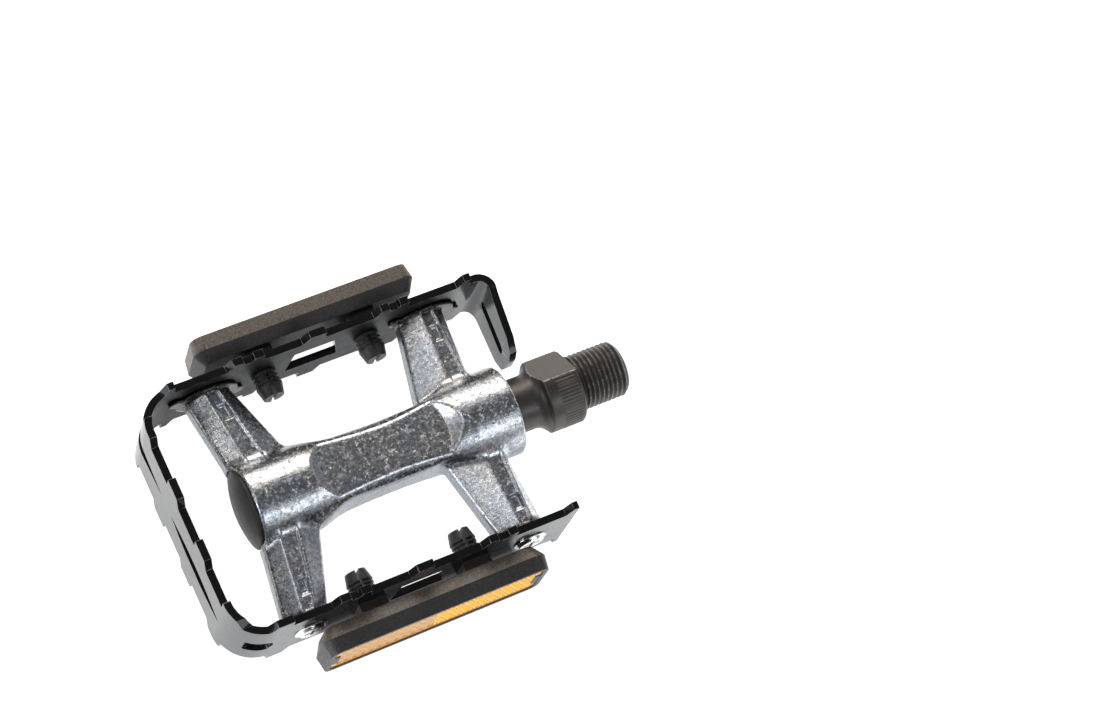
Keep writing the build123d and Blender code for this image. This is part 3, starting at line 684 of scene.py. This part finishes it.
def lens(node, side):
    low, high = limits(node)
    middle = (low + high) / 2
    half_x = (high[0] - low[0]) / 2 - LENS_CLEARANCE
    half_z = (high[2] - low[2]) / 2 - LENS_CLEARANCE
    step = 0.17
    u = np.linspace(-half_x, half_x, int(2 * half_x / step))
    v = np.linspace(-half_z, half_z, int(2 * half_z / step))
    u, v = np.meshgrid(u, v, indexing="ij")
    corner_u = np.abs(u) - (half_x - LENS_CORNER)
    corner_v = np.abs(v) - (half_z - LENS_CORNER)
    reach = np.sqrt(np.maximum(corner_u, 0) ** 2 + np.maximum(corner_v, 0) ** 2)
    past_corner = (corner_u > 0) & (corner_v > 0) & (reach > LENS_CORNER)
    pull = np.where(past_corner, LENS_CORNER / np.maximum(reach, 1e-6), 1)
    pu = np.sign(u) * (np.where(pull < 1, half_x - LENS_CORNER + corner_u * pull, np.abs(u)))
    pv = np.sign(v) * (np.where(pull < 1, half_z - LENS_CORNER + corner_v * pull, np.abs(v)))
    rising = wave((u + PRISM_SLANT * v) / PRISM_PITCH)
    falling = wave((u - PRISM_SLANT * v) / PRISM_PITCH)
    prisms = PRISM_HEIGHT * np.minimum(rising, falling)
    row = np.floor(v / RING_PITCH + 0.5)
    du = ((u + 0.45 * row * RING_PITCH) / RING_PITCH + 0.5) % 1.0 - 0.5
    dv = (v / RING_PITCH + 0.5) % 1.0 - 0.5
    ring = np.sqrt(du * du + dv * dv) * RING_PITCH
    rings = RING_HEIGHT * np.clip(1 - np.abs(ring - RING_RADIUS) / 0.30, 0, 1)
    rings = rings + 0.10 * wave(v / RING_PITCH + 0.5)
    relief = np.where(u < 0, prisms, rings)
    from_edge = np.minimum(half_x - np.abs(u), half_z - np.abs(v))
    border = steps(from_edge, LENS_BORDER - LENS_FADE, LENS_BORDER + LENS_FADE)
    divide = steps(np.abs(u), 0.15, 0.4)
    depth = PRISM_HEIGHT * (1 - border) + relief * border * divide
    face = high[1] if side > 0 else -low[1]
    back = low[1] if side > 0 else -high[1]
    front = np.stack([pu + middle[0], side * (face - PRISM_HEIGHT + depth), pv + middle[2]], -1)
    rear = np.stack([pu + middle[0], np.full_like(pu, side * back), pv + middle[2]], -1)
    rows, columns = u.shape
    count = rows * columns
    i, j = np.meshgrid(np.arange(rows - 1), np.arange(columns - 1), indexing="ij")
    a = (i * columns + j).ravel()
    quad = np.stack([a, a + columns, a + columns + 1, a + 1], -1)
    faces = [quad, quad[:, ::-1] + count]
    loop = np.concatenate(
        [
            np.arange(columns - 1),
            np.arange(columns - 1, count - 1, columns),
            np.arange(count - 1, count - columns, -1),
            np.arange(count - columns, 0, -columns),
        ]
    )
    after = np.roll(loop, -1)
    faces.append(np.stack([loop, after, after + count, loop + count], -1))
    faces = np.concatenate(faces)
    if side > 0:
        faces = faces[:, ::-1]
    points = np.concatenate([front.reshape(-1, 3), rear.reshape(-1, 3)])
    lit = np.where(u > 0, np.clip(rings / RING_HEIGHT, 0, 1) * border, 0).ravel()
    name = node.replace("reflector_lens", "prism_lens")
    values = {"ring": np.concatenate([lit, np.zeros(count)])}
    mesh_object(
        name, points, faces, "amber_lens", "pedal_body", [node], smooth=False, values=values
    )


lens("front_reflector_lens", -1)
lens("rear_reflector_lens", 1)


# ---- nodes that keep their CAD shape --------------------------------------------------
dress("cage", "black_steel", 0.28, bent=True, edge_finish="edge_wear_and_highlight")
dress("front_cage_screws", "zinc_screw", 0.12)
dress("rear_cage_screws", "zinc_screw", 0.12)
dress("front_reflector_housing", "housing_plastic", 0.28)
dress("rear_reflector_housing", "housing_plastic", 0.28)
dress("dust_cap", "cap_plastic", 0.15)
dress("spindle_seal", "seal_rubber", 0.08)
dress("inner_bearing_cup", "bearing_steel", 0.08)
dress("outer_bearing_cup", "bearing_steel", 0.08)
dress("inner_balls", "bearing_steel", 0)
dress("outer_balls", "bearing_steel", 0)
dress("adjusting_cone", "bearing_steel", 0.08)
dress("keyed_washer", "bearing_steel", 0.08)
dress("locknut", "bearing_steel", 0.12)

# ---- floor and lights -----------------------------------------------------------------
floor_mesh = bpy.data.meshes.new("floor")
FLOOR_HALF = 3.0
floor_z = cad_low.z
corners = ((-1, -1), (1, -1), (1, 1), (-1, 1))
floor_mesh.from_pydata(
    [(x * FLOOR_HALF, y * FLOOR_HALF, floor_z) for x, y in corners], [], [(0, 1, 2, 3)]
)
floor = bpy.data.objects.new("floor", floor_mesh)
bpy.context.scene.collection.objects.link(floor)
paper = Shader("floor_paper", Roughness=0.9, Specular_IOR_Level=0.1)
paper.bump(paper.noise(0.8, 4.0), 0.01, 0.3)
paper.set("Emission Color", (1.0, 1.0, 1.0))
# painted shadow: the strip of paper that the front reflector covers is dark, fading out at its
# four sides
SHADE_X, SHADE_Y, SHADE_FADE = (-80.0, -28.0), (-38.0, -34.5), 2.5
place = paper.axes()
shade = paper.between(place[0], (SHADE_X[0] - SHADE_FADE, SHADE_X[0]))
for axis, outside, inside in (
    (0, SHADE_X[1] + SHADE_FADE, SHADE_X[1]),
    (1, SHADE_Y[0] - SHADE_FADE, SHADE_Y[0]),
    (1, SHADE_Y[1] + SHADE_FADE, SHADE_Y[1]),
):
    shade = paper.combine("MULTIPLY", shade, paper.between(place[axis], (outside, inside)))
paper.set("Emission Strength", paper.remap(shade, 0.0, 1.0, 0.92, 0.02))
paper.set("Base Color", paper.mix(shade, (0.92, 0.92, 0.92), (0.04, 0.04, 0.04)))
floor_mesh.materials.append(paper.material)

CENTRE = Vector(((cad_low.x + cad_high.x) / 2, 0, 0))


def softbox(name, direction, distance, size, watts, colour=(1.0, 1.0, 1.0)):
    """A rectangular light that faces the pedal from the given direction."""
    data = bpy.data.lights.new(name, "AREA")
    data.shape = "RECTANGLE"
    data.size, data.size_y = size
    data.energy = watts
    data.color = colour
    light = bpy.data.objects.new(name, data)
    bpy.context.scene.collection.objects.link(light)
    direction = Vector(direction).normalized()
    light.location = CENTRE + direction * distance
    light.rotation_mode = "QUATERNION"
    light.rotation_quaternion = direction.to_track_quat("Z", "Y")


softbox("light_rear", (0.15, 0.82, 0.56), 1.1, (1.0, 0.54), 7.2, (1.0, 0.94, 0.87))
softbox("light_front", (0.35, -0.70, 0.62), 1.2, (0.9, 0.36), 3.0, (0.87, 0.93, 1.0))
softbox("light_left", (-0.45, 0.22, 0.87), 1.3, (0.34, 0.50), 1.25)
softbox("light_far_left", (-0.96, -0.15, 0.24), 1.1, (0.5, 0.9), 5.0, (0.94, 0.97, 1.0))

world = bpy.data.worlds.new("studio")
bpy.context.scene.world = world
world.use_nodes = True
sky = world.node_tree
sky.nodes.clear()
sky_out = sky.nodes.new("ShaderNodeOutputWorld")
sky_light = sky.nodes.new("ShaderNodeBackground")
sky_place = sky.nodes.new("ShaderNodeTexCoord")
sky_parts = sky.nodes.new("ShaderNodeSeparateXYZ")
sky_ramp = sky.nodes.new("ShaderNodeValToRGB")
sky.links.new(sky_place.outputs["Generated"], sky_parts.inputs[0])
sky.links.new(sky_parts.outputs["Z"], sky_ramp.inputs[0])
sky.links.new(sky_ramp.outputs[0], sky_light.inputs[0])
sky.links.new(sky_light.outputs[0], sky_out.inputs[0])
ramp = sky_ramp.color_ramp
ramp.elements[0].position = 0.0
ramp.elements[0].color = (0.75, 0.76, 0.78, 1)
ramp.elements[1].position = 0.55
ramp.elements[1].color = (0.102, 0.105, 0.112, 1)
stop = ramp.elements.new(0.20)
stop.color = (0.34, 0.35, 0.37, 1)
sky_light.inputs[1].default_value = 1.0
